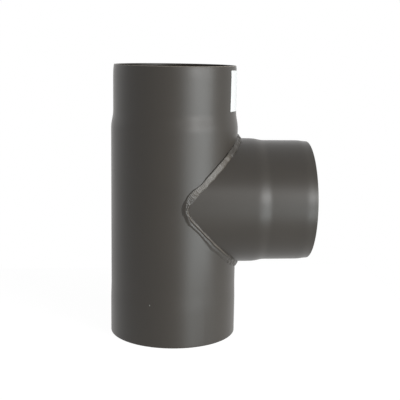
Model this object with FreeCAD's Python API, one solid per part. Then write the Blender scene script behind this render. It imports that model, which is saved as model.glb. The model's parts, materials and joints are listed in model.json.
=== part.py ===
import FreeCAD, Part
import math
import os

# Stove pipe tee of welded sheet steel, in millimetres.
# It stands on its open lower end: +Z runs up the main pipe and the branch points along +X.
# The origin is the centre of the lower rim.

# Main pipe
nominal_bore = 150.0
wall = 2.0
wall_below_branch = 28.6
wall_above_branch = 12.6
rim_break = 0.4

# Lower end, opened out so that the pipe below slides in
socket_growth = 0.5
socket_depth = 46.0
socket_blend = 14.0

# Upper end, drawn in so that it slides into the pipe above
top_play = 0.6
top_spigot_length = 54.0
top_neck_length = 22.0
top_lead_in = 14.0
top_lead_in_drop = 0.9

# Branch, rolled a little smaller than the main pipe so that its mouth lies on it
branch_undersize = 0.6
branch_play = 0.9
branch_wall_length = 18.0
branch_spigot_length = 55.0
branch_neck_length = 15.0
branch_lead_in = 12.0
branch_lead_in_drop = 1.0

# Rings that the curved stretches of both pipes are pressed in
neck_rings = 4
lead_in_rings = 2

# Weld bead round the foot of the branch
bead_main_leg = 5.4
bead_branch_leg = 2.6
bead_leg_shift = 0.5
bead_cap_height = 1.7
bead_fillet_height = 0.9
bead_sink = 0.3
bead_root_depth = 1.5
bead_unevenness = 0.06
bead_bands = 4
bead_runs = 12
bead_stations_per_run = 6
bead_crowding = 0.35

# Blank paper label round the side of the upper end
label_height = 48.0
label_length = 105.0
label_thickness = 0.15
label_below_rim = 6.0
label_start = -30.0

# Radii that follow from the sizes above
main_radius = nominal_bore / 2 + wall
branch_radius = main_radius - branch_undersize
top_spigot_radius = nominal_bore / 2 - top_play
branch_spigot_radius = nominal_bore / 2 - branch_play

# Places along the two axes: up the main pipe, and out along the branch
branch_height = socket_depth + socket_blend + wall_below_branch + branch_radius
top_neck_foot = branch_height + branch_radius + wall_above_branch
main_height = top_neck_foot + top_neck_length + top_spigot_length
branch_neck_foot = main_radius + branch_wall_length
branch_reach = branch_neck_foot + branch_neck_length + branch_spigot_length

ORIGIN = FreeCAD.Vector(0, 0, 0)
UP = FreeCAD.Vector(0, 0, 1)
SIDEWAYS = FreeCAD.Vector(0, 1, 0)


def neck(foot, length, wide, narrow):
    """Radius and height of each ring edge down an S-shaped neck, from the wide wall to the narrow one."""
    points = []
    for ring in range(neck_rings + 1):
        share = ring / neck_rings
        ease = (1 - math.cos(math.pi * share)) / 2
        points.append((wide + (narrow - wide) * ease, foot + length * share))
    return points


def lead_in(rim, length, radius, drop):
    """Radius and height of each ring edge of an end that curls inward, up to its rim."""
    points = []
    for ring in range(lead_in_rings + 1):
        share = ring / lead_in_rings
        points.append((radius - drop * share ** 2, rim - length * (1 - share)))
    return points


def main_outline():
    """Radius and height along the outer face of the main pipe, from the lower rim up."""
    return [
        (main_radius + socket_growth, 0),
        (main_radius + socket_growth, socket_depth),
        (main_radius, socket_depth + socket_blend),
        *neck(top_neck_foot, top_neck_length, main_radius, top_spigot_radius),
        *lead_in(main_height, top_lead_in, top_spigot_radius, top_lead_in_drop),
    ]


def branch_outline():
    """Radius and distance along the outer face of the branch, from the main pipe's axis out."""
    return [
        (branch_radius, 0),
        *neck(branch_neck_foot, branch_neck_length, branch_radius, branch_spigot_radius),
        *lead_in(branch_reach, branch_lead_in, branch_spigot_radius, branch_lead_in_drop),
    ]


def turned(points):
    """The solid that a closed outline of (radius, height) points sweeps out round the Z axis."""
    corners = [FreeCAD.Vector(radius, 0, height) for radius, height in points]
    face = Part.Face(Part.makePolygon(corners + corners[:1]))
    return face.revolve(ORIGIN, UP, 360)


def filled(outline, growth=0):
    """A solid body with the outline as its outer face, grown by a thickness."""
    points = [(radius + growth, height) for radius, height in outline]
    return turned([(0, points[0][1]), *points, (0, points[-1][1])])


def sheet_tube(outline):
    """A pipe of one wall thickness with the outline as its outer face and the edges of its rims broken."""
    inner = [(radius - wall, height) for radius, height in outline]
    low_outer, high_outer = outline[0], outline[-1]
    low_inner, high_inner = inner[0], inner[-1]
    return turned([
        (low_outer[0] - rim_break, low_outer[1]),
        (low_outer[0], low_outer[1] + rim_break),
        *outline[1:-1],
        (high_outer[0], high_outer[1] - rim_break),
        (high_outer[0] - rim_break, high_outer[1]),
        (high_inner[0] + rim_break, high_inner[1]),
        (high_inner[0], high_inner[1] - rim_break),
        *reversed(inner[1:-1]),
        (low_inner[0], low_inner[1] + rim_break),
        (low_inner[0] + rim_break, low_inner[1]),
    ])


def onto_branch(shape):
    """Lays a shape made along +Z onto the branch's axis."""
    shape.rotate(ORIGIN, SIDEWAYS, 90)
    shape.translate(FreeCAD.Vector(0, 0, branch_height))
    return shape


def main_pipe():
    """The upright pipe, with the hole that the branch opens into."""
    hole = onto_branch(Part.makeCylinder(branch_radius - wall, branch_reach))
    return sheet_tube(main_outline()).cut(hole)


def branch_pipe():
    """The side pipe, its mouth cut to lie on the outside of the main pipe."""
    return onto_branch(sheet_tube(branch_outline())).cut(filled(main_outline()))


def bead_section(angle):
    """Corners of the bead's section where the branch's wall stands at this angle from the front."""
    depth = -branch_radius * math.cos(angle)
    rise = branch_radius * math.sin(angle)
    reach = math.sqrt(main_radius ** 2 - depth ** 2)
    root = FreeCAD.Vector(reach, depth, branch_height + rise)
    main_normal = FreeCAD.Vector(reach, depth, 0).normalize()
    branch_normal = FreeCAD.Vector(0, depth, rise).normalize()
    along = branch_normal.cross(main_normal).normalize()
    outward = (main_normal + branch_normal).normalize()

    swell = 1 + bead_unevenness * (math.sin(5 * angle) + math.sin(13 * angle + 1))
    branch_leg = bead_branch_leg + bead_leg_shift * math.sin(angle)
    main_toe = root + main_normal.cross(along) * (bead_main_leg * swell)
    branch_toe = root + along.cross(branch_normal) * (branch_leg * swell)
    flatness = main_normal.dot(branch_normal)
    height = bead_fillet_height + (bead_cap_height - bead_fillet_height) * flatness

    corners = [main_toe - main_normal * bead_sink]
    for band in range(1, bead_bands):
        share = band / bead_bands
        arch = 4 * share * (1 - share)
        corners.append(main_toe + (branch_toe - main_toe) * share + outward * (height * arch))
    corners.append(branch_toe - branch_normal * bead_sink)
    corners.append(root - outward * bead_root_depth)
    return corners


def bead_band(starts, ends):
    """Faces between two closed lines that run along the seam, one for each run of the weld."""
    count = len(starts)
    surface = Part.BSplineSurface()
    surface.buildFromPolesMultsKnots(
        list(zip(starts, ends)),
        [1] * (count + 1),
        [2, 2],
        list(range(count + 1)),
        [0, 1],
        True,
        False,
        3,
        1,
    )
    faces = []
    for run in range(bead_runs):
        piece = surface.copy()
        piece.segment(run * bead_stations_per_run, (run + 1) * bead_stations_per_run, 0, 1)
        faces.append(piece.toShape())
    return faces


def bead_ring():
    """The bead as a closed ring of bands, its underside still sunk into both pipes."""
    stations = bead_runs * bead_stations_per_run
    sections = []
    for station in range(stations):
        turn = math.pi + 2 * math.pi * station / stations
        sections.append(bead_section(turn - bead_crowding * math.sin(2 * turn)))
    lines = list(zip(*sections))
    faces = []
    for i in range(len(lines)):
        faces += bead_band(lines[i - 1], lines[i])
    shell = Part.makeShell(faces)
    shell.sewShape()
    return Part.makeSolid(shell)


def weld_bead():
    """The bead, trimmed so that it lies face to face on both pipes."""
    branch_body = onto_branch(filled(branch_outline()))
    return bead_ring().cut(filled(main_outline())).cut(branch_body)


def blank_label():
    """A bare sticker that follows the outside of the upper end."""
    skin = filled(main_outline(), label_thickness).cut(filled(main_outline()))
    sweep = math.degrees(label_length / top_spigot_radius)
    foot = FreeCAD.Vector(0, 0, main_height - label_below_rim - label_height)
    sector = Part.makeCylinder(main_radius * 2, label_height, foot, UP, sweep)
    sector.rotate(ORIGIN, UP, label_start)
    return skin.common(sector)


os.makedirs("parts", exist_ok=True)
pieces = {
    "main_pipe": main_pipe(),
    "branch_pipe": branch_pipe(),
    "weld_bead": weld_bead(),
    "blank_label": blank_label(),
}
for name, shape in pieces.items():
    shape.exportStep(f"parts/{name}.step")
    print(name, "solids", len(shape.Solids), "valid", shape.isValid(), "volume", round(shape.Volume, 1))
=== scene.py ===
import json
import math

import bpy
from mathutils import Matrix, Vector, noise

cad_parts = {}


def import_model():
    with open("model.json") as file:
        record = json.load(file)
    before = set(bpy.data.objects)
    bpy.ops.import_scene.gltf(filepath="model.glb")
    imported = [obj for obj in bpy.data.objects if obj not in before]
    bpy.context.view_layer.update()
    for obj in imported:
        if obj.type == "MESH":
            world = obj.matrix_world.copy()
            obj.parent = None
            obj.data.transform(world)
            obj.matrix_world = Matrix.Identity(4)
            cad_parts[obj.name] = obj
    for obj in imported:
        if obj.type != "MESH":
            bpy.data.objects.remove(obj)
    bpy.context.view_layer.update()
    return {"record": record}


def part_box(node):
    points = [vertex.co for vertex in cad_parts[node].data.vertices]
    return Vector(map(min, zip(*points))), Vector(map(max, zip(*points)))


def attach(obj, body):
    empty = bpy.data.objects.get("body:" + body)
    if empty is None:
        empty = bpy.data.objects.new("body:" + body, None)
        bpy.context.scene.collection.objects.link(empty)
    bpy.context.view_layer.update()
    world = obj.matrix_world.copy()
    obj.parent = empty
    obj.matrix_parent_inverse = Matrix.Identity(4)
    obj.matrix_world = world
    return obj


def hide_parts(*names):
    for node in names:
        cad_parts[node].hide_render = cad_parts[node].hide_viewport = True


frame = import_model()

# Stove pipe tee in satin dark grey paint, in metres, in the frame's own place.
# The main pipe stands along +Z and the branch points along +X.

# Sizes of the pipes and the label, read from the frame where it holds them
mounts = {mount["name"]: mount for mount in frame["record"]["mounts"]}
main_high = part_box("main_pipe")[1]
branch_low, branch_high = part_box("branch_pipe")
label_low, label_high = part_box("blank_label")
main_height = main_high[2]
socket_radius = main_high[0]
branch_radius = branch_high[1]
branch_reach = branch_high[0]
branch_height = (branch_low[2] + branch_high[2]) / 2
top_spigot_radius = mounts["top_spigot"]["dims"]["r_mm"] / 1000
branch_spigot_radius = mounts["branch_spigot"]["dims"]["r_mm"] / 1000
wall = socket_radius - mounts["lower_socket"]["dims"]["r_mm"] / 1000
socket_growth = 0.0005
main_radius = socket_radius - socket_growth

# Stretches along each pipe
socket_depth = 0.041
socket_blend = 0.024
top_spigot_length = 0.054
top_neck_length = 0.022
top_lead_in = 0.014
top_lead_in_drop = 0.0009
branch_spigot_length = 0.055
branch_neck_length = 0.020
branch_neck_lateness = 1.5
branch_lead_in = 0.014
branch_lead_in_drop = 0.0012
rim_rounding = 0.0005

# Fineness of the meshes
row_step = 0.0025
columns = 256
rim_points = 5
sharp_angle = 40
bead_stations = 1500
bead_rows = 30
bead_crowding = 0.35
label_columns = 60
label_rows = 24

# Weld bead: how far it spreads over each pipe, how high it stands and how deep it goes
bead_main_leg = 0.0054
bead_branch_leg = 0.0030
bead_main_sink = 0.0002
bead_branch_sink = 0.0001
bead_crown = 0.0006
bead_depth = 0.0012
bead_lean = 0.001

# Places across the bead, as shares of the way from its toe on the main pipe to its toe on the branch
main_shoulder = 0.14
nose_shoulder = 0.4
branch_shoulder = 0.22
lean_pivot = 0.6
ripple_fade = 0.15
lump_fade = 0.12
grain_start = 0.35
grain_fade = 0.2
ridge_place = 0.76
ridge_main_slope = 0.19
ridge_branch_slope = 0.24

# Extra height of the nose and heights of the two ridges, as multiples of the crown,
# the second ridge with its place and width
nose_rise = 1.9
ridge_height = 2.0
second_ridge = (0.8, 0.32, 0.17)

# Ripples across the bead, bowed so that their ends lie further along
ripple_pitch = 0.0021
ripple_height = 0.00007
ripple_bow = 0.0022

# Lumps and grain: heights, and for each pattern its length along, its repeats across and its layer
upper_lobe_height = 0.0009
lower_lobe_height = 0.0008
plain_lobe_height = 0.0001
grain_height = 0.0004
back_grain_height = 0.00018
plain_grain_height = 0.00006
fine_grain_share = 0.5
lobe_pattern = (0.0042, 1.6, 5.3)
grain_pattern = (0.0026, 3.4, 9.1)
fine_pattern = (0.0012, 7.0, 2.3)

# Stretches of the bead, as angles round the branch, 0 at the front and rising upward: start, end, softness
nose_stretch = (-0.16, 0.06, 0.1)
grainy_stretch = (-0.08, 0.24, 0.06)
flat_stretch = (0.25, 0.85, 0.1)
leaning_stretch = (0.5, 0.85, 0.15)
upper_lobes = (0.9, 1.5, 0.1)
lower_lobes = (-1.55, -0.95, 0.1)
lower_ridges = (-1.0, -0.2, 0.12)
back_ridges = (-2.8, -2.1, 0.2)
back_grain = (2.75, 3.0, 0.1)

# Places where the bead is wider or narrower on the main pipe: change, and middle and width, or stretch
main_above_nose = (0.42, 0.17, 0.14)
main_below_nose = (0.2, -0.14, 0.06)
main_lower_side = (0.36, -1.15, -0.58, 0.22)
main_lower_waist = (-0.06, -0.36, 0.1)

# The same on the branch
branch_upper_side = (0.5, 0.55, 1.5, 0.25)
branch_above_nose = (-0.15, 0.05, 0.3, 0.1)
branch_bottom = (0.5, -math.pi / 2, 0.16)
branch_lower_side = (0.12, -1.0, -0.35, 0.2)

# Slow wanders along the bead: amount, row of the pattern and length, and the spacing of the rows
crown_wander = (0.2, 3, 0.012)
ridge_wander = (0.3, 6, 0.014)
ridge_sway = (0.03, 4, 0.006)
ripple_wander = (2.5, 5, 0.009)
main_leg_wander = (0.12, 1, 0.012)
main_leg_jitter = (0.07, 8, 0.0035)
branch_leg_wander = (0.15, 2, 0.009)
branch_leg_jitter = (0.08, 9, 0.0028)
wander_spacing = (7.31, 1.7)

# Blank label
label_thickness = 0.00015
label_start = -32.1
label_length = 0.105
label_tilt = 1.0

# Range that holds most values of a texture
usual_values = (0.3, 0.7)

# Paint: its colour, gloss and unevenness, with each noise as repeats to the metre, detail and roughness,
# and each relief as strength and depth
paint_color = (0.033, 0.0275, 0.0215)
paint_roughness = 0.39
roughness_spread = 0.02
paint_gloss = 0.47
cloud_noise = (14, 4, 0.5)
cloud_tones = (0.94, 1.06)
peel_noise = (900, 2, 0.5)
peel_bump = (0.25, 0.00004)
grit_noise = (4200, 2, 0.5)
grit_tones = (0.9, 1.1)
grit_bump = (0.3, 0.00001)

# Dust and the one chip in the paint
dust_color = (0.3, 0.29, 0.27, 1)
speck_cells_per_metre = 130
speck_radius_in_cells = 0.045
speck_chance = 0.015
chip_place = (-0.0323, -0.0703, 0.0512)
chip_size = 0.0009
chip_raggedness = 0.3
chip_stretch = 1.7

# Painted light and shade, as factors on the paint's colour: a painted highlight on the outer edge of the
# top rim, painted highlights on the bead's ridge and flat band, and painted shade in the bead's creases
painted_rim_highlight = 8.0
painted_rim_highlight_depth = 0.8 * rim_rounding
# Painted highlights on the bead's lower ridge and on its upper flat band
painted_ridge_highlight = 2.2
painted_ridge_stretch = (-0.7, -0.1, 0.25)
painted_ridge_place = ridge_place + 0.02
painted_ridge_width = 0.07
painted_flat_highlight = 1.1
painted_flat_shares = (0.25, 0.9, 0.1)
# Painted shade in the bead's creases: how dark, and how far it reaches in from each toe
painted_crease_shade = 0.65
main_crease_shade_share = 0.12
branch_crease_shade_share = 0.07

# Label paper
paper_color = (0.86, 0.86, 0.85)
paper_roughness = (0.62, 0.72)
paper_gloss = 0.25
fibre_noise = (1800, 5, 0.7)
fibre_tones = (0.97, 1.01)
fibre_bump = (0.2, 0.00001)

# Camera
camera_distance = 1.04235
camera_height = 0.35469
camera_turn = -0.0716
camera_pan = 0.031
camera_pitch = 0.180
camera_roll = 0.0156
camera_lens = 77.06
camera_sensor = 36

# Ground and light from all round
tee_middle = 0.03
floor_size = 0.6
floor_color = (0.88, 0.88, 0.88, 1)
floor_roughness = 0.9
floor_white = 0.96
floor_shadow = (0.2, 0.2, 0.2, 1)
cool_light = (0.89, 0.96, 0.98)
plain_light = (0.96, 0.97, 0.97)
ambient_light = 0.1

# Soft panels round the tee, in banks: name, distance, height, height aimed at, size and colour,
# and for each panel its angle, 0 in front and 90 on the right, and its power
foot_aim = 0.02
middle_aim = main_height / 2
lamp_banks = (
    ("key_under", 2.0, -0.5, foot_aim, (0.4, 0.4), cool_light, ((28, 4.8), (42, 2.6), (58, 3.6))),
    ("key_low", 2.0, 0.02, foot_aim, (0.4, 0.7), cool_light, ((18, 2.6), (38, 4.0), (48, 3.6), (58, 3.7))),
    ("key_high", 2.0, 0.62, middle_aim, (0.4, 0.5), plain_light, ((28, 7.8), (38, 8.2), (58, 8.0))),
    ("key_top", 2.0, 1.05, middle_aim, (0.4, 0.4), plain_light, ((8, 2.4), (40, 1.6))),
    ("back", 2.2, 0.5, middle_aim, (3.0, 1.6), plain_light, ((180, 4.0),)),
    ("back_left", 2.0, 0.6, middle_aim, (0.8, 0.8), plain_light, ((-120, 0.6),)),
)


def ease(share):
    """Rises smoothly from 0 to 1, level at both ends."""
    share = min(max(share, 0.0), 1.0)
    return (1 - math.cos(math.pi * share)) / 2


def main_radius_at(height):
    """Outer radius of the main pipe at a height."""
    spigot_foot = main_height - top_spigot_length
    neck_foot = spigot_foot - top_neck_length
    radius = main_radius
    radius += (socket_radius - main_radius) * (1 - ease((height - socket_depth) / socket_blend))
    radius += (top_spigot_radius - main_radius) * ease((height - neck_foot) / top_neck_length)
    curl = max(0.0, height - main_height + top_lead_in) / top_lead_in
    return radius - top_lead_in_drop * curl ** 2


def branch_radius_at(reach):
    """Outer radius of the branch at a distance from the main pipe's axis."""
    spigot_foot = branch_reach - branch_spigot_length
    neck_foot = spigot_foot - branch_neck_length
    share = max(0.0, reach - neck_foot) / branch_neck_length
    radius = branch_radius + (branch_spigot_radius - branch_radius) * ease(share ** branch_neck_lateness)
    return radius - branch_lead_in_drop * ease((reach - branch_reach + branch_lead_in) / branch_lead_in)


def steps(start, end, step):
    """Evenly spaced values from start to end, both included."""
    count = max(1, round((end - start) / step))
    return [start + (end - start) * i / count for i in range(count + 1)]


def rounded_rim(outer, inner, level, outward):
    """Points over a rim from the outer face to the inner one, both corners rounded.

    Outward is 1 for a rim at the far end of a pipe and -1 for one at its near end.
    """
    points = []
    corners = ((outer - rim_rounding, 0.0), (inner + rim_rounding, 0.5 * math.pi))
    for centre, first in corners:
        for i in range(rim_points):
            angle = first + 0.5 * math.pi * i / (rim_points - 1)
            radius = centre + rim_rounding * math.cos(angle)
            points.append((radius, level - outward * rim_rounding * (1 - math.sin(angle))))
    return points


def sheet_section(radius_at, low, high):
    """Closed section of a pipe's wall: up the outer face, over the rim, and down the inner face."""
    rows = steps(low + rim_rounding, high - rim_rounding, row_step)
    outer = [(radius_at(row), row) for row in rows[1:-1]]
    inner = [(radius - wall, row) for radius, row in reversed(outer)]
    top = rounded_rim(radius_at(high), radius_at(high) - wall, high, 1)
    foot = rounded_rim(radius_at(low), radius_at(low) - wall, low, -1)
    return outer + top + inner + foot[::-1]


def new_piece(name, points, faces):
    """A mesh object that rides on the body."""
    mesh = bpy.data.meshes.new(name)
    mesh.from_pydata(points, [], faces)
    mesh.validate()
    piece = bpy.data.objects.new(name, mesh)
    bpy.context.scene.collection.objects.link(piece)
    mesh.shade_smooth()
    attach(piece, "root")
    return piece


def ring_faces(rings, count):
    """Quads between closed rings of points, the last ring joined to the first."""
    faces = []
    for ring in range(rings):
        after = (ring + 1) % rings
        for i in range(count):
            j = (i + 1) % count
            faces.append((ring * count + i, ring * count + j, after * count + j, after * count + i))
    return faces


def upright(radius, height, angle):
    """A point on a ring round the main pipe's axis."""
    return (radius * math.cos(angle), radius * math.sin(angle), height)


def mouth(radius, angle):
    """How far out a ring of the branch meets the main pipe's outer face, at an angle round the branch."""
    return math.sqrt(main_radius ** 2 - (radius * math.cos(angle)) ** 2)


def sideways(radius, reach, angle):
    """A point on a ring round the branch's axis, its first stretch pulled onto the main pipe's face."""
    neck_foot = branch_reach - branch_spigot_length - branch_neck_length
    if reach < neck_foot:
        start = mouth(radius, angle)
        reach = start + (neck_foot - start) * reach / neck_foot
    return (reach, radius * math.cos(angle), branch_height + radius * math.sin(angle))


def store_painted_light(piece, tones):
    """Stores the painted light and shade at each point of a piece, as a factor on the paint's colour, 1
    where there is none.
    """
    piece.data.attributes.new("tone", "FLOAT", "POINT").data.foreach_set("value", tones)


def sharpen_edges(piece):
    """Keeps the edges where a piece turns a corner crisp."""
    piece.data.set_sharp_from_angle(angle=math.radians(sharp_angle))


def turned_piece(name, section, place):
    """The piece that a closed section sweeps out round an axis."""
    points = []
    for radius, height in section:
        points += [place(radius, height, 2 * math.pi * i / columns) for i in range(columns)]
    return new_piece(name, points, ring_faces(len(section), columns))


def cut_out(piece, radius, reach):
    """Cuts a round hole along the branch's axis into a piece."""
    bpy.ops.mesh.primitive_cylinder_add(
        vertices=columns,
        radius=radius,
        depth=reach,
        location=(reach / 2, 0, branch_height),
        rotation=(0, math.pi / 2, 0),
    )
    cutter = bpy.context.object
    cut = piece.modifiers.new("hole", "BOOLEAN")
    cut.operation = "DIFFERENCE"
    cut.solver = "EXACT"
    cut.object = cutter
    bpy.context.view_layer.update()
    result = bpy.data.meshes.new_from_object(piece.evaluated_get(bpy.context.evaluated_depsgraph_get()))
    piece.modifiers.clear()
    piece.data = result
    bpy.data.objects.remove(cutter)


def painted_rim_highlight_at(point):
    """Painted highlight on the main pipe: the paint on the outer edge of its top rim made many times
    lighter.
    """
    on_rim = point.z > main_height - painted_rim_highlight_depth
    on_outside = point.xy.length > main_radius_at(main_height) - rim_rounding
    return painted_rim_highlight if on_rim and on_outside else 1.0


def main_pipe():
    """The upright pipe, with the hole that the branch opens into."""
    piece = turned_piece("main_pipe_sheet", sheet_section(main_radius_at, 0.0, main_height), upright)
    cut_out(piece, branch_radius - wall, branch_reach)
    sharpen_edges(piece)
    store_painted_light(piece, [painted_rim_highlight_at(point.co) for point in piece.data.vertices])
    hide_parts("main_pipe")
    return piece


def branch_pipe():
    """The side pipe, its mouth lying on the outside of the main pipe."""
    rows = steps(0.0, branch_reach - rim_rounding, row_step)
    outer = [(branch_radius_at(row), row) for row in rows[:-1]]
    inner = [(radius - wall, row) for radius, row in reversed(outer)]
    rim_radius = branch_radius_at(branch_reach)
    section = outer + rounded_rim(rim_radius, rim_radius - wall, branch_reach, 1) + inner
    piece = turned_piece("branch_pipe_sheet", section, sideways)
    sharpen_edges(piece)
    store_painted_light(piece, [1.0] * len(piece.data.vertices))
    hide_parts("branch_pipe")
    return piece


def bead_frame(angle):
    """Root of the joint at an angle round the branch, with the directions that the bead is laid by."""
    depth = -branch_radius * math.cos(angle)
    rise = branch_radius * math.sin(angle)
    reach = math.sqrt(main_radius ** 2 - depth ** 2)
    root = Vector((reach, depth, branch_height + rise))
    main_normal = Vector((reach, depth, 0)).normalized()
    branch_normal = Vector((0, depth, rise)).normalized()
    along = branch_normal.cross(main_normal).normalized()
    return root, main_normal, branch_normal, along


def wander(run, amount, row, length):
    """A slow drift either way along the bead, by this amount at most."""
    return amount * noise.noise(Vector((run / length, row * wander_spacing[0], row * wander_spacing[1])))


def unevenness(share, run, length, repeats, layer):
    """Unevenness between -1 and 1, in patches along and across the bead."""
    return noise.noise(Vector((run / length, share * repeats, layer)))


def hump(value, height, middle, width):
    """A rounded hump of this height."""
    return height * math.exp(-((value - middle) / width) ** 2)


def between(value, start, end, soft):
    """1 from start to end, and 0 further out than soft."""
    return ease((value - start) / soft + 1) * ease((end - value) / soft + 1)


def plateau(value, height, start, end, soft):
    """A flat-topped rise of this height."""
    return height * between(value, start, end, soft)


def bead_height(share, angle, run):
    """Height of the bead over the line between its toes, at a share of the way across.

    The angle runs round the branch, and the run is the length of bead laid so far.
    """
    crown = bead_crown * (1 + wander(run, *crown_wander))
    nose = between(angle, *nose_stretch)
    body = ease(share / (main_shoulder + nose_shoulder * nose)) * ease((1 - share) / branch_shoulder)
    body *= 1 + nose_rise * nose
    twin = between(angle, *lower_ridges) + between(angle, *back_ridges)
    sway = share + wander(run, *ridge_sway)
    main_slope = (ridge_place - sway) / ridge_main_slope
    branch_slope = (sway - ridge_place) / ridge_branch_slope
    roof = max(0.0, 1 - max(main_slope, branch_slope))
    ridges = (ridge_height + wander(run, *ridge_wander)) * roof + hump(sway, *second_ridge)
    height = crown * (body * (1 - twin) + twin * ridges)
    lean = bead_lean * between(angle, *leaning_stretch)
    height += lean * (lean_pivot - share) * ease(share / main_shoulder)

    curve = run - ripple_bow * (2 * share - 1) ** 2
    ripple = math.sin(2 * math.pi * curve / ripple_pitch + wander(run, *ripple_wander))
    height += ripple_height * ripple * ease(share / ripple_fade) * ease((1 - share) / ripple_fade)
    lumps = bead_lumps(share, angle, run)
    return height + lumps * ease(share / lump_fade) * ease((1 - share) / lump_fade)


def bead_lumps(share, angle, run):
    """Height of the uneven lumps and the fine grain of the bead."""
    lobes = upper_lobe_height * between(angle, *upper_lobes)
    lobes += lower_lobe_height * between(angle, *lower_lobes) + plain_lobe_height
    grain = grain_height * between(angle, *grainy_stretch) * ease((share - grain_start) / grain_fade)
    grain += back_grain_height * between(angle, *back_grain) + plain_grain_height
    lumps = lobes * unevenness(share, run, *lobe_pattern)
    lumps += grain * unevenness(share, run, *grain_pattern)
    return lumps + fine_grain_share * grain * unevenness(share, run, *fine_pattern)


def bead_ring(angle, run):
    """Points across the bead at one station: over its top from toe to toe, and back through its root."""
    root, main_normal, branch_normal, along = bead_frame(angle)
    outward = (main_normal + branch_normal).normalized()
    main_leg = bead_main_leg * (1 + wander(run, *main_leg_wander) + wander(run, *main_leg_jitter))
    main_leg *= 1 + hump(angle, *main_above_nose) + hump(angle, *main_below_nose)
    main_leg *= 1 + plateau(angle, *main_lower_side) + hump(angle, *main_lower_waist)
    branch_leg = bead_branch_leg * (1 + wander(run, *branch_leg_wander) + wander(run, *branch_leg_jitter))
    branch_leg *= 1 + plateau(angle, *branch_upper_side) + plateau(angle, *branch_above_nose)
    branch_leg *= 1 + hump(angle, *branch_bottom) + plateau(angle, *branch_lower_side)
    main_toe = root + main_normal.cross(along) * main_leg - main_normal * bead_main_sink
    branch_toe = root + along.cross(branch_normal) * branch_leg - branch_normal * bead_branch_sink
    points = []
    for row in range(bead_rows):
        share = row / (bead_rows - 1)
        spot = main_toe.lerp(branch_toe, share)
        points.append(spot + outward * bead_height(share, angle, run))
    points.append(root - outward * bead_depth)
    return points


def bead_painted_light(share, angle):
    """Painted light and shade on a place of the bead: painted shade in the creases at its toes, and
    painted highlights on the lower ridge and the upper flat band.
    """
    crease_shading = max(1 - share / main_crease_shade_share, 1 - (1 - share) / branch_crease_shade_share, 0.0)
    ridge_lighting = between(angle, *painted_ridge_stretch) * hump(share, 1, painted_ridge_place, painted_ridge_width)
    flat_lighting = between(angle, *flat_stretch) * between(share, *painted_flat_shares)
    return 1 - painted_crease_shade * crease_shading + painted_ridge_highlight * ridge_lighting + painted_flat_highlight * flat_lighting


def weld_bead():
    """The bead that joins the two pipes, as one closed ring along the seam."""
    angles = []
    for i in range(bead_stations):
        turn = 2 * math.pi * i / bead_stations - math.pi
        angles.append(turn - bead_crowding * math.sin(2 * turn))
    run = 0.0
    points = []
    tones = []
    last = bead_frame(angles[-1])[0]
    for angle in angles:
        root = bead_frame(angle)[0]
        run += (root - last).length
        last = root
        points += bead_ring(angle, run)
        tones += [bead_painted_light(row / (bead_rows - 1), angle) for row in range(bead_rows)] + [1.0]
    faces = ring_faces(bead_stations, bead_rows + 1)
    piece = new_piece("weld_bead_run", points, faces)
    store_painted_light(piece, tones)
    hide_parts("weld_bead")
    return piece


def label():
    """A thin sheet glued round the upper spigot, following its lead-in."""
    start = math.radians(label_start)
    length = label_length / top_spigot_radius
    lean = math.sin(math.radians(label_tilt))
    middle = (label_low[2] + label_high[2]) / 2
    points = []
    for growth in (label_thickness, 0.0):
        for row in range(label_rows + 1):
            rise = label_low[2] + (label_high[2] - label_low[2]) * row / label_rows - middle
            for i in range(label_columns + 1):
                along = label_length * (i / label_columns - 0.5)
                height = middle + rise - lean * along
                angle = start + length / 2 + (along + lean * rise) / top_spigot_radius
                points.append(upright(main_radius_at(height) + growth, height, angle))
    faces = []
    width = label_columns + 1
    sheet = width * (label_rows + 1)
    for row in range(label_rows):
        for i in range(label_columns):
            a = row * width + i
            faces.append((a, a + 1, a + width + 1, a + width))
            faces.append((sheet + a, sheet + a + width, sheet + a + width + 1, sheet + a + 1))
    border = list(range(width))
    border += [row * width + label_columns for row in range(1, label_rows + 1)]
    border += [label_rows * width + i for i in range(label_columns - 1, -1, -1)]
    border += [row * width for row in range(label_rows - 1, 0, -1)]
    for i in range(len(border)):
        a, b = border[i - 1], border[i]
        faces.append((a, sheet + a, sheet + b, b))
    piece = new_piece("label_sheet", points, faces)
    sharpen_edges(piece)
    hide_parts("blank_label")
    return piece


def new_material(name):
    """A material with its shader, and a short way to add a node to it."""
    material = bpy.data.materials.new(name)
    material.use_nodes = True
    tree = material.node_tree

    def add(kind, settings=None, **inputs):
        node = tree.nodes.new(kind)
        for key, value in (settings or {}).items():
            setattr(node, key, value)
        for key, value in inputs.items():
            number = key[1:]
            socket = node.inputs[int(number) if number.isdigit() else key.replace("_", " ")]
            if isinstance(value, bpy.types.NodeSocket):
                tree.links.new(value, socket)
            else:
                socket.default_value = value
        return node

    return material, tree.nodes["Principled BSDF"], add


def texture(add, kind, scale, **inputs):
    """A texture in the object's own space, with this many repeats to the metre."""
    place = add("ShaderNodeTexCoord").outputs["Object"]
    return add(kind, Vector=place, Scale=scale, **inputs)


def noise_texture(add, scale, detail, roughness):
    """Values of an even noise."""
    return texture(add, "ShaderNodeTexNoise", scale, Detail=detail, Roughness=roughness).outputs["Fac"]


def spread(add, value, low, high):
    """Spreads the middle of a texture's values over the range from low to high."""
    first, last = usual_values
    node = add("ShaderNodeMapRange", Value=value, From_Min=first, From_Max=last, To_Min=low, To_Max=high)
    return node.outputs["Result"]


def bump(add, height, strength, depth, **inputs):
    """Surface directions over a fine relief."""
    node = add("ShaderNodeBump", Strength=strength, Distance=depth, Height=height, **inputs)
    return node.outputs["Normal"]


def maths(add, operation, first, second):
    """One sum on two numbers."""
    return add("ShaderNodeMath", {"operation": operation}, _0=first, _1=second).outputs["Value"]


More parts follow.
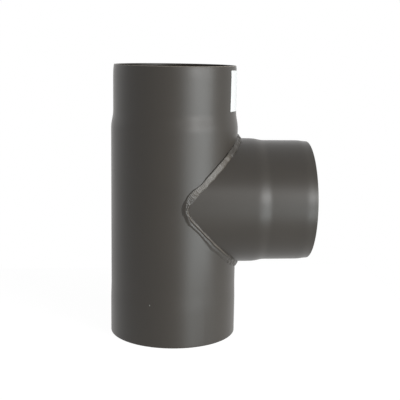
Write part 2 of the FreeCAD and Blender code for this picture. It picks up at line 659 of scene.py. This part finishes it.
def vector_maths(add, operation, first, second):
    """One sum on two places or directions."""
    return add("ShaderNodeVectorMath", {"operation": operation}, _0=first, _1=second).outputs["Vector"]


def shade(add, color, factor):
    """A colour made lighter or darker by a factor."""
    return add("ShaderNodeVectorMath", {"operation": "SCALE"}, _0=color, Scale=factor).outputs["Vector"]


def chip_mask(add, raggedness):
    """1 inside the one small light chip low on the main pipe, and 0 elsewhere."""
    place = add("ShaderNodeTexCoord").outputs["Object"]
    offset = vector_maths(add, "SUBTRACT", place, chip_place)
    squeezed = vector_maths(add, "MULTIPLY", offset, (chip_stretch, 1.0, 1.0))
    length = add("ShaderNodeVectorMath", {"operation": "LENGTH"}, _0=squeezed).outputs["Value"]
    edge = spread(add, raggedness, (1 - chip_raggedness) * chip_size, (1 + chip_raggedness) * chip_size)
    return maths(add, "LESS_THAN", length, edge)


def speck_mask(add):
    """1 on a few specks of dust, and 0 elsewhere."""
    cells = texture(add, "ShaderNodeTexVoronoi", speck_cells_per_metre)
    near = maths(add, "LESS_THAN", cells.outputs["Distance"], speck_radius_in_cells)
    pick = add("ShaderNodeSeparateXYZ", Vector=cells.outputs["Color"]).outputs["X"]
    return maths(add, "MULTIPLY", near, maths(add, "GREATER_THAN", pick, 1 - speck_chance))


def paint():
    """Satin heat-resistant paint, with fine orange peel, faint clouding, a little dust and one chip, and
    the painted light and shade stored on each piece.
    """
    material, shader, add = new_material("stove_paint")
    link = material.node_tree.links.new
    cloud = noise_texture(add, *cloud_noise)
    peel = noise_texture(add, *peel_noise)
    grit = noise_texture(add, *grit_noise)
    tone = shade(add, paint_color, spread(add, cloud, *cloud_tones))
    tone = shade(add, tone, spread(add, grit, *grit_tones))
    # Painted highlights and painted shade, stored on the pieces' points
    tone = shade(add, tone, add("ShaderNodeAttribute", {"attribute_name": "tone"}).outputs["Fac"])
    marks = maths(add, "MAXIMUM", speck_mask(add), chip_mask(add, peel))
    finish = add("ShaderNodeMix", {"data_type": "RGBA"}, Factor=marks, _6=tone, _7=dust_color).outputs[2]
    link(finish, shader.inputs["Base Color"])

    shader.inputs["Specular IOR Level"].default_value = paint_gloss
    roughness = spread(add, cloud, paint_roughness - roughness_spread, paint_roughness + roughness_spread)
    link(roughness, shader.inputs["Roughness"])
    coarse = bump(add, peel, *peel_bump)
    link(bump(add, grit, *grit_bump, Normal=coarse), shader.inputs["Normal"])
    return material


def paper():
    """Smooth white label paper with a faint fibre."""
    material, shader, add = new_material("label_stock")
    link = material.node_tree.links.new
    fibre = noise_texture(add, *fibre_noise)
    link(shade(add, paper_color, spread(add, fibre, *fibre_tones)), shader.inputs["Base Color"])
    link(spread(add, fibre, *paper_roughness), shader.inputs["Roughness"])
    shader.inputs["Specular IOR Level"].default_value = paper_gloss
    link(bump(add, fibre, *fibre_bump), shader.inputs["Normal"])
    return material


def floor():
    """A pale table top. The camera sees it as white, but for the tee's faint shadow."""
    bpy.ops.mesh.primitive_plane_add(size=floor_size, location=(tee_middle, 0, 0))
    ground = bpy.context.object
    ground.name = "studio_floor"
    ground.visible_shadow = False
    material, shader, add = new_material("studio_floor")
    shader.inputs["Base Color"].default_value = floor_color
    shader.inputs["Roughness"].default_value = floor_roughness
    white = add("ShaderNodeEmission", Strength=floor_white).outputs["Emission"]
    shadow = add("ShaderNodeBsdfDiffuse", Color=floor_shadow).outputs["BSDF"]
    seen = add("ShaderNodeAddShader", _0=white, _1=shadow).outputs["Shader"]
    mix_for_sight(material.node_tree, shader.outputs["BSDF"], seen, "Material Output")
    material.cycles.emission_sampling = "NONE"
    dress(ground, material)


def world():
    """A weak even light from all round, which the camera sees as white."""
    scene = bpy.context.scene
    scene.world = bpy.data.worlds.new("studio")
    scene.world.use_nodes = True
    tree = scene.world.node_tree
    ambient = tree.nodes["Background"]
    ambient.inputs["Color"].default_value = (*plain_light, 1)
    ambient.inputs["Strength"].default_value = ambient_light
    white = tree.nodes.new("ShaderNodeBackground")
    white.inputs["Color"].default_value = (1, 1, 1, 1)
    mix_for_sight(tree, ambient.outputs["Background"], white.outputs["Background"], "World Output")


def mix_for_sight(tree, lit, seen, output):
    """Shows one shader to the camera and in reflections, and gives all other rays the other one."""
    path = tree.nodes.new("ShaderNodeLightPath")
    mirrored = tree.nodes.new("ShaderNodeMath")
    sight = tree.nodes.new("ShaderNodeMath")
    mix = tree.nodes.new("ShaderNodeMixShader")
    mirrored.operation = sight.operation = "MAXIMUM"
    tree.links.new(path.outputs["Is Glossy Ray"], mirrored.inputs[0])
    tree.links.new(path.outputs["Is Transmission Ray"], mirrored.inputs[1])
    tree.links.new(path.outputs["Is Camera Ray"], sight.inputs[0])
    tree.links.new(mirrored.outputs["Value"], sight.inputs[1])
    tree.links.new(sight.outputs["Value"], mix.inputs["Fac"])
    tree.links.new(lit, mix.inputs[1])
    tree.links.new(seen, mix.inputs[2])
    tree.links.new(mix.outputs["Shader"], tree.nodes[output].inputs["Surface"])


def panel(name, place, aim, size, power, color):
    """A soft rectangular lamp."""
    lamp = bpy.data.lights.new(name, "AREA")
    lamp.shape = "RECTANGLE"
    lamp.size, lamp.size_y = size
    lamp.energy = power
    lamp.color = color
    holder = bpy.data.objects.new(name, lamp)
    holder.location = place
    holder.rotation_euler = (Vector(place) - Vector(aim)).to_track_quat("Z", "Y").to_euler()
    bpy.context.scene.collection.objects.link(holder)


def around(angle, distance, height):
    """A place at this angle and distance round the tee's middle."""
    turn = math.radians(angle)
    return (tee_middle + distance * math.sin(turn), -distance * math.cos(turn), height)


def lamps():
    """Banks of panels at the front right, low ones and higher ones, and weak ones at the back."""
    for name, distance, height, aim, size, color, panels in lamp_banks:
        for angle, power in panels:
            panel(name, around(angle, distance, height), (tee_middle, 0, aim), size, power, color)


def camera():
    """A long lens in front of the tee, a little above its top and aimed down at it."""
    forward = Vector((-math.sin(camera_turn), math.cos(camera_turn), 0))
    right = Vector((math.cos(camera_turn), math.sin(camera_turn), 0))
    up = Vector((0, 0, 1))
    place = -forward * camera_distance + up * camera_height
    forward, right = (
        forward * math.cos(camera_pan) + right * math.sin(camera_pan),
        right * math.cos(camera_pan) - forward * math.sin(camera_pan),
    )
    forward, up = (
        forward * math.cos(camera_pitch) - up * math.sin(camera_pitch),
        up * math.cos(camera_pitch) + forward * math.sin(camera_pitch),
    )
    right, up = (
        right * math.cos(camera_roll) + up * math.sin(camera_roll),
        up * math.cos(camera_roll) - right * math.sin(camera_roll),
    )
    lens = bpy.data.cameras.new("camera")
    lens.sensor_width = camera_sensor
    lens.lens = camera_lens
    holder = bpy.data.objects.new("camera", lens)
    turn = Matrix((right, up, -forward)).transposed()
    holder.matrix_world = Matrix.Translation(place) @ turn.to_4x4()
    bpy.context.scene.collection.objects.link(holder)
    bpy.context.scene.camera = holder


def dress(piece, material):
    """Gives a piece one material."""
    piece.data.materials.clear()
    piece.data.materials.append(material)


stove_paint = paint()
dress(main_pipe(), stove_paint)
dress(branch_pipe(), stove_paint)
dress(weld_bead(), stove_paint)
dress(label(), paper())
floor()
world()
lamps()
camera()
bpy.context.scene.view_settings.view_transform = "Standard"
